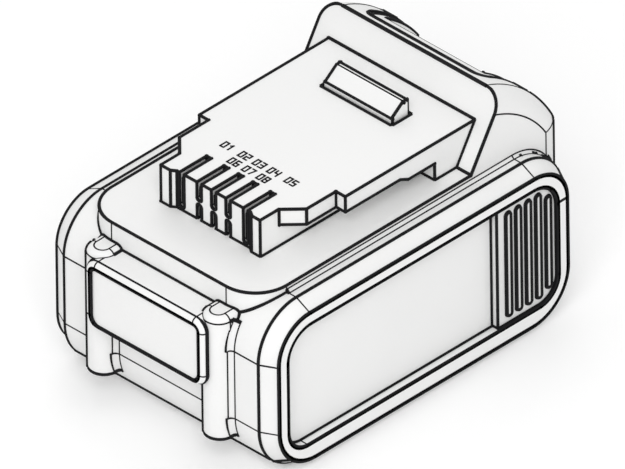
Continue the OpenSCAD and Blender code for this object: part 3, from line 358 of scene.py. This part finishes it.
def wire_piece(name, points, closed, body):
    """One mesh of wires with shared rings merged, riding on a body. A wall joins each side of a wire's
    two rings, and two faces of four corners close an end."""
    side = np.arange(SIDES)
    turn = (side + 1) % SIDES
    base = (np.arange(len(points)) * 2 * SIDES)[:, None]
    walls = np.stack([side, side + SIDES, turn + SIDES, turn], axis=1).reshape(1, -1)
    lids = np.array([[0, 1, 2, 3, 0, 3, 4, 5], [9, 8, 7, 6, 11, 10, 9, 6]])
    faces = [(base + walls).reshape(-1, 4)]
    faces += [(base[closed[:, end]] + lids[end]).reshape(-1, 4) for end in (0, 1)]
    spots, back = merged(points.reshape(-1, 3), SAME_IN_WIRES)
    return new_piece(name, spots, back[np.concatenate(faces)], edge_ink, body)


# Edge lines

CASES = ("upper_case", "lower_case")
# How near to the parting line an edge lies on it, and the place ahead of which the line crosses the posts
ON_SEAM = 0.05 * MM
POST_SEAM = FRONT_WALL - 1.2 * MM
# A height just above the posts' feet, and a reach to the sides that takes in the posts but not the rims
POST_FOOT = 9.2 * MM
POST_REACH = 29.0 * MM
# The depth of the plate's upper border
PLATE_BORDER = 0.3 * MM
# How near to a moving piece's box an edge is beside it, and the length under which an edge is short
BESIDE = 1.0 * MM
SHORT = 1.0 * MM
# The least cosine across a keen edge that the sinking of its wire allows for
LEAST_ACROSS = 0.3
# The boxes of the moving pieces and the axis that each moves along
MOVING = [(*np.array(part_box(name), float), axis)
          for name, axis in (("latch_slider", 2), ("release_button", 2), ("gauge_button", 1))]

# Where rounded faces turn: the base's lean as a sine, and a height that its line stays below
BASE_LEAN = 0.66
BASE_TOP = 12.0 * MM
# A place ahead of the hump's line, and a height below it
HUMP_FRONT = 20.0 * MM
HUMP_FOOT = PARTING + 1.0 * MM
# Where the posts stand out from the front wall, and how far to the left their line's normals lean
POST_BACK = FRONT_WALL - 0.5 * MM
POST_LEFT = -0.3


def post_level(normal):
    """Changes sign where a post faces as much to the left as to the front and up together."""
    return normal[:, 0] - normal[:, 1] + normal[:, 2]


def near_post(place, normal):
    """Whether a place lies on the left of a post's front."""
    return (place[:, 1] < POST_BACK) & (normal[:, 0] < POST_LEFT) & (normal[:, 1] < 0)


# Lines on rounded faces: the piece, its node, the value from a normal that changes sign there, and where.
# The base has one where the case turns under by 41 degrees, and the hump where its rear faces as much back
# as sideways and up.
TURNS = [
    ("base_line", "lower_case", lambda normal: normal[:, 2] + BASE_LEAN,
     lambda place, normal: place[:, 2] < BASE_TOP),
    ("hump_line", "upper_case", lambda normal: normal[:, 1] - np.abs(normal[:, 0]) - normal[:, 2],
     lambda place, normal: (place[:, 1] > HUMP_FRONT) & (place[:, 2] > HUMP_FOOT)),
    ("post_head_lines", "upper_case", post_level, near_post),
    ("post_lines", "lower_case", post_level, near_post),
]


def welded(node):
    """A node's points with doubles merged, its triangles on them, the triangles on the points as they
    came, which are apart on each face of the solid, and the triangles' normals."""
    mesh = NODES[node].data
    mesh.calc_loop_triangles()
    co = np.empty(len(mesh.vertices) * 3, np.float32)
    mesh.vertices.foreach_get("co", co)
    apart = np.empty(len(mesh.loop_triangles) * 3, np.int32)
    mesh.loop_triangles.foreach_get("vertices", apart)
    co, back = merged(co.reshape(-1, 3).astype(float), SAME_IN_NODE)
    tri = back[apart].reshape(-1, 3)
    normal = np.cross(co[tri[:, 1]] - co[tri[:, 0]], co[tri[:, 2]] - co[tri[:, 0]])
    keep = np.linalg.norm(normal, axis=1) > NO_AREA
    return co, tri[keep], apart.reshape(-1, 3)[keep], unit(normal[keep])


def face_edges(node, least_turn=23.0):
    """The edges between a node's faces. Gives its points, the edges' ends, each edge's two normals, their
    mean, the cosine between that and either normal, and whether the edge is sharp, smooth or hollow. A
    sharp edge turns by more than least_turn, in degrees, and a smooth one lies between two faces of the
    solid."""
    co, tri, apart, normal = welded(node)
    ends = np.stack([tri, np.roll(tri, -1, axis=1)], axis=2).reshape(-1, 2)
    came = np.sort(np.stack([apart, np.roll(apart, -1, axis=1)], axis=2).reshape(-1, 2), axis=1)
    face = np.repeat(np.arange(len(tri)), 3)
    low, high = ends.min(1), ends.max(1)
    order = np.lexsort((high, low))
    low, high, face, came = low[order], high[order], face[order], came[order]
    pair = np.flatnonzero((low[:-1] == low[1:]) & (high[:-1] == high[1:]))
    one, two = face[pair], face[pair + 1]
    sharp = np.einsum("ij,ij->i", normal[one], normal[two]) < math.cos(math.radians(least_turn))
    smooth = (came[pair] != came[pair + 1]).any(1) & ~sharp
    mean = unit(normal[one] + normal[two])
    across = np.einsum("ij,ij->i", mean, normal[one])
    ends = np.stack([low[pair], high[pair]], axis=1)
    rise = co[tri[two]].mean(1) - co[ends].mean(1)
    hollow = sharp & (np.einsum("ij,ij->i", rise, normal[one]) > 0)
    return co, ends, (normal[one], normal[two]), mean, across, sharp, smooth, hollow


def draw_edges(node, body, thick=0.46, proud=0.38, clear=0.12, thin=0.23, rim=0.65, crest=0.5,
               fill=0.44, fill_most=0.54):
    """The edge lines of a node, with sizes in mm. A wire of radius thick is sunk until it stands proud of
    both faces of a sharp edge by the same little. Beside a moving piece it stands proud by clear alone on
    the face that runs along the motion. On the corner of a hollow edge its radius is fill over the cosine
    across the edge, up to fill_most, and on the pack's box it is rim. It is thin, and sunk by a quarter of
    that, where two faces run on smoothly, on the posts, along the parting line and on the plate's upper
    border, but crest where a rounded face reaches its turn. The seams across the posts and the flat side
    faces are left out, and so is a short edge that meets no other."""
    co, ends, normals, mean, across, sharp, smooth, hollow = face_edges(node)
    middle = co[ends].mean(1)
    seam = np.abs(middle[:, 2] - PARTING) < ON_SEAM
    fine = ~sharp | seam
    if node in CASES:
        on_post = (middle[:, 1] < FRONT_WALL) & (middle[:, 2] > POST_FOOT)
        fine |= on_post & (np.abs(middle[:, 0]) < POST_REACH)
    if node == "front_plate":
        fine |= middle[:, 2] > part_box(node)[1][2] - PLATE_BORDER
    near_box = (np.abs(co - BOX_LOW) < ON_BOX) | (np.abs(co - BOX_HIGH) < ON_BOX)
    on_box = near_box[ends].all(1)
    bounding = on_box.any(1)
    full = np.where(hollow, np.minimum(fill / across, fill_most), np.where(bounding, rim, thick))
    radius = np.where(fine, thin, full)
    sink = np.where(hollow | bounding, 0.0, (thick - proud) / np.maximum(across, LEAST_ACROSS))
    sink = np.where(fine, thin / 4, sink)
    for _, turning, level, near in TURNS:
        if turning == node:
            turned = smooth & near(middle, mean) & ((level(normals[0]) > 0) != (level(normals[1]) > 0))
            radius = np.where(turned, crest, radius)
            sink = np.where(turned, 0.0, sink)
    offset = -mean * sink[:, None]
    for low, high, axis in MOVING:
        beside = (np.abs(middle - np.clip(middle, low, high)) < BESIDE).all(1)
        beside &= ~(fine | hollow | bounding)
        swap = (np.abs(normals[0][:, axis]) > np.abs(normals[1][:, axis]))[:, None]
        wall, face = np.where(swap, normals[::-1], normals)
        offset = np.where(beside[:, None], -wall * (thick - clear) - face * (thick - proud), offset)
    seam &= (middle[:, 1] < POST_SEAM) | on_box[:, 0]
    pick = (sharp | smooth) & ~seam
    met = np.bincount(ends[pick].reshape(-1), minlength=len(co))
    short = np.linalg.norm(co[ends[:, 1]] - co[ends[:, 0]], axis=1) < SHORT
    pick &= ~(short & (met[ends] == 1).all(1))
    points, closed = wires(co, ends[pick], mean[pick], radius[pick] * MM, offset[pick] * MM)
    wire_piece(f"edge_lines_{node}", points, closed, body)


def turn_lines(name, node, body, level, near, radius=0.5 * MM, least=0.002 * MM):
    """A line where a node's rounded faces turn past a lean. level gives from a normal a value that
    changes sign there, and each triangle that the change crosses gets an edge, longer than least, between
    the crossings of two of its sides. A point's normal is the mean of its triangles', each weighed by its
    angle. near picks edges by middle and normal."""
    co, tri, apart, normal = welded(node)
    corner = co[tri]
    ahead, behind = np.roll(corner, -1, axis=1) - corner, np.roll(corner, 1, axis=1) - corner
    angle = np.arccos(np.clip(np.einsum("ijk,ijk->ij", unit(ahead), unit(behind)), -1.0, 1.0))
    total = np.zeros((apart.max() + 1, 3))
    np.add.at(total, apart.reshape(-1), (angle[..., None] * normal[:, None]).reshape(-1, 3))
    value = level(unit(total))[apart]
    after = np.roll(value, -1, axis=1)
    cross = (value > 0) != (after > 0)
    both = cross.sum(1) == 2
    share = value / np.where(cross, value - after, 1.0)
    spot = (corner + share[..., None] * ahead)[both][cross[both]].reshape(-1, 2, 3)
    keep = np.linalg.norm(spot[:, 1] - spot[:, 0], axis=1) > least
    keep &= near(spot.mean(1), normal[both])
    spots, back = merged(spot[keep].reshape(-1, 3), SAME_IN_TURN)
    ends = back.reshape(-1, 2)
    even = np.full(len(ends), radius)
    points, closed = wires(spots, ends, normal[both][keep], even, np.zeros((len(ends), 3)))
    wire_piece(name, points, closed, body)


for name in CASES + ("front_plate", "side_panel_left", "side_panel_right", "grip_pad_left", "grip_pad_right"):
    draw_edges(name, "pack")
for name, body in (("release_button", "release"), ("latch_slider", "release"), ("gauge_button", "gauge")):
    draw_edges(name, body)
for name, node, level, near in TURNS:
    turn_lines(name, node, "pack", level, near)


# Latch springs

def latch_spring(side, wire=0.6 * MM, turns=6, flat_end=0.5, steps=32, sides=10):
    """A wound spring in its node's box. Its middle line goes round a circle and rises evenly, but for half a
    turn that lies flat at each end, and a round wire follows it."""
    node = f"latch_spring_{side}"
    low, high = np.array(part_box(node), float)
    around = np.linspace(0.0, turns, turns * steps + 1)[:, None]
    about = np.arange(sides) * 2.0 * math.pi / sides
    radius = (high[0] - low[0]) / 2 - wire / 2 + wire / 2 * np.cos(about)
    rise = np.clip((around - flat_end) / (turns - 2 * flat_end), 0.0, 1.0)
    middle = low[2] + wire / 2 + (high[2] - low[2] - wire) * rise
    angle = 2.0 * math.pi * around
    x = (low[0] + high[0]) / 2 + radius * np.cos(angle)
    y = (low[1] + high[1]) / 2 + radius * np.sin(angle)
    z = middle + wire / 2 * np.sin(about)
    start = np.arange(len(around) - 1)[:, None] * sides
    here = start + np.arange(sides)
    turned = start + (np.arange(sides) + 1) % sides
    faces = np.stack([here, here + sides, turned + sides, turned], axis=2).reshape(-1, 4).tolist()
    last = (len(around) - 1) * sides
    faces += [list(range(sides)), list(range(last + sides - 1, last - 1, -1))]
    points = np.stack([x, y, z], axis=2).reshape(-1, 3)
    obj = new_piece(f"wound_spring_{side}", points, faces, spring_steel, "pack")
    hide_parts(node)
    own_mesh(obj)


for side in ("left", "right"):
    latch_spring(side)


# Terminal marks

# Strokes of plain numerals, in half heights across and up from the middle
STROKES = {
    "0": [[(-0.5, 1), (0.5, 1), (0.5, -1), (-0.5, -1), (-0.5, 1)]],
    "1": [[(-0.4, 0.5), (0.1, 1), (0.1, -1)]],
    "2": [[(-0.5, 1), (0.5, 1), (0.5, 0), (-0.5, 0), (-0.5, -1), (0.5, -1)]],
    "3": [[(-0.5, 1), (0.5, 1), (0.5, -1), (-0.5, -1)], [(-0.4, 0), (0.5, 0)]],
    "4": [[(-0.5, 1), (-0.5, 0), (0.5, 0)], [(0.5, 1), (0.5, -1)]],
    "5": [[(0.5, 1), (-0.5, 1), (-0.5, 0), (0.5, 0), (0.5, -1), (-0.5, -1)]],
    "6": [[(0.5, 1), (-0.5, 1), (-0.5, -1), (0.5, -1), (0.5, 0), (-0.5, 0)]],
    "7": [[(-0.5, 1), (0.5, 1), (0.0, -1)]],
    "8": [[(-0.5, 1), (0.5, 1), (0.5, -1), (-0.5, -1), (-0.5, 1)], [(-0.5, 0), (0.5, 0)]],
}


def terminal_marks(half=1.1 * MM, pitch=1.75, stroke=0.42 * MM, sunk=0.6, rear=-17.2 * MM, front=-20.9 * MM):
    """A two-figure number beside each terminal. Wires of radius stroke, their middles sunk below the
    tower's flat top by the share sunk of it, follow the strokes of its figures, which are twice half tall
    and stand pitch halves apart. The rear row has a number for each slot, the front row one for each
    inner slot's lower storey."""
    top = welded("upper_case")[0]
    top = top[top[:, 1] < 0, 2].max()
    middles = np.array([np.mean(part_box(f"contact_{i}"), axis=0) for i in range(1, 9)])
    slots = np.unique(np.round(middles[:, 0], 5))
    rows = [(x, rear) for x in slots] + [(x, front) for x in slots[1:-1]]
    co, ends = [], []
    for number, (x, y) in enumerate(rows, 1):
        for place, figure in enumerate(f"{number:02d}"):
            left = x + (place - 0.5) * pitch * half
            for line in STROKES[figure]:
                ends += [(len(co) + i, len(co) + i + 1) for i in range(len(line) - 1)]
                co += [(left + u * half, y + v * half, top) for u, v in line]
    ends = np.array(ends)
    up = np.tile([0.0, 0.0, 1.0], (len(ends), 1))
    points, closed = wires(np.array(co), ends, up, np.full(len(ends), stroke), -up * stroke * sunk)
    wire_piece("terminal_marks", points, closed, "pack")


terminal_marks()


# Floor, light and camera

def floor_sheet(half=3.0, grey=0.88, glow=0.17):
    """A wide flat floor. To the camera and in reflections it glows a little, so that it reads as white
    and keeps the pack's shadow."""
    mesh = bpy.data.meshes.new("floor")
    corners = [(-half, -half, 0), (half, -half, 0), (half, half, 0), (-half, half, 0)]
    mesh.from_pydata(corners, [], [(0, 1, 2, 3)])
    obj = bpy.data.objects.new("floor", mesh)
    bpy.context.scene.collection.objects.link(obj)
    mat, tree, shader = new_material("floor_paint")
    shader.inputs["Base Color"].default_value = rgba((grey, grey, grey))
    shader.inputs["Roughness"].default_value = 0.9
    shader.inputs["Specular IOR Level"].default_value = 0.1
    shader.inputs["Emission Color"].default_value = rgba((1.0, 1.0, 1.0))
    path = add_node(tree, "ShaderNodeLightPath")
    seen = maths(tree, "MAXIMUM", path.outputs["Is Camera Ray"], path.outputs["Is Glossy Ray"])
    seen = maths(tree, "MAXIMUM", seen, path.outputs["Is Transmission Ray"])
    tree.links.new(maths(tree, "MULTIPLY", seen, glow), shader.inputs["Emission Strength"])
    mesh.materials.append(mat)


def studio_world(lighting=0.7):
    """An even sky: white where the camera looks past the floor, softer where it lights the pack."""
    world = bpy.data.worlds.new("studio")
    bpy.context.scene.world = world
    world.use_nodes = True
    tree = world.node_tree
    back = tree.nodes["Background"]
    path = add_node(tree, "ShaderNodeLightPath")
    strength = maths(tree, "MAXIMUM", path.outputs["Is Camera Ray"], lighting)
    tree.links.new(strength, back.inputs["Strength"])
    back.inputs["Color"].default_value = rgba((1.0, 1.0, 1.0))


def soft_lamp(name, place, size, power, target=(0, 0, 0.03)):
    """A square soft lamp at place, turned to target."""
    lamp = bpy.data.lights.new(name, "AREA")
    lamp.energy = power
    lamp.size = size
    obj = bpy.data.objects.new(name, lamp)
    obj.location = place
    obj.rotation_euler = (Vector(target) - Vector(place)).to_track_quat("-Z", "Y").to_euler()
    bpy.context.scene.collection.objects.link(obj)


def drawing_camera(lean=0.76, width=152.3 * MM, aim=(-0.115, 1.045, 30.56), away=0.6):
    """A parallel camera on the isometric diagonal, leaned by the drawing's own small turn, in degrees. It
    shows width, looks at aim, in mm, and stands away from it."""
    angle = math.radians(lean)
    right = Vector((1, 1, 0)).normalized()
    up = Vector((-1, 1, 2)).normalized()
    across = right * math.cos(angle) - up * math.sin(angle)
    rise = right * math.sin(angle) + up * math.cos(angle)
    back = across.cross(rise)
    camera = bpy.data.cameras.new("camera")
    camera.type = "ORTHO"
    camera.ortho_scale = width
    camera.clip_start = 0.01
    obj = bpy.data.objects.new("camera", camera)
    place = Vector(aim) * MM + back * away
    obj.matrix_world = Matrix.Translation(place) @ Matrix((across, rise, back)).transposed().to_4x4()
    bpy.context.scene.collection.objects.link(obj)
    bpy.context.scene.camera = obj


floor_sheet()
studio_world()
soft_lamp("key", place=(0.42, -0.5, 0.62), size=0.45, power=3.0)
soft_lamp("fill", place=(-0.5, 0.5, 0.6), size=0.6, power=1.0)
drawing_camera()
bpy.context.scene.view_settings.view_transform = "Standard"
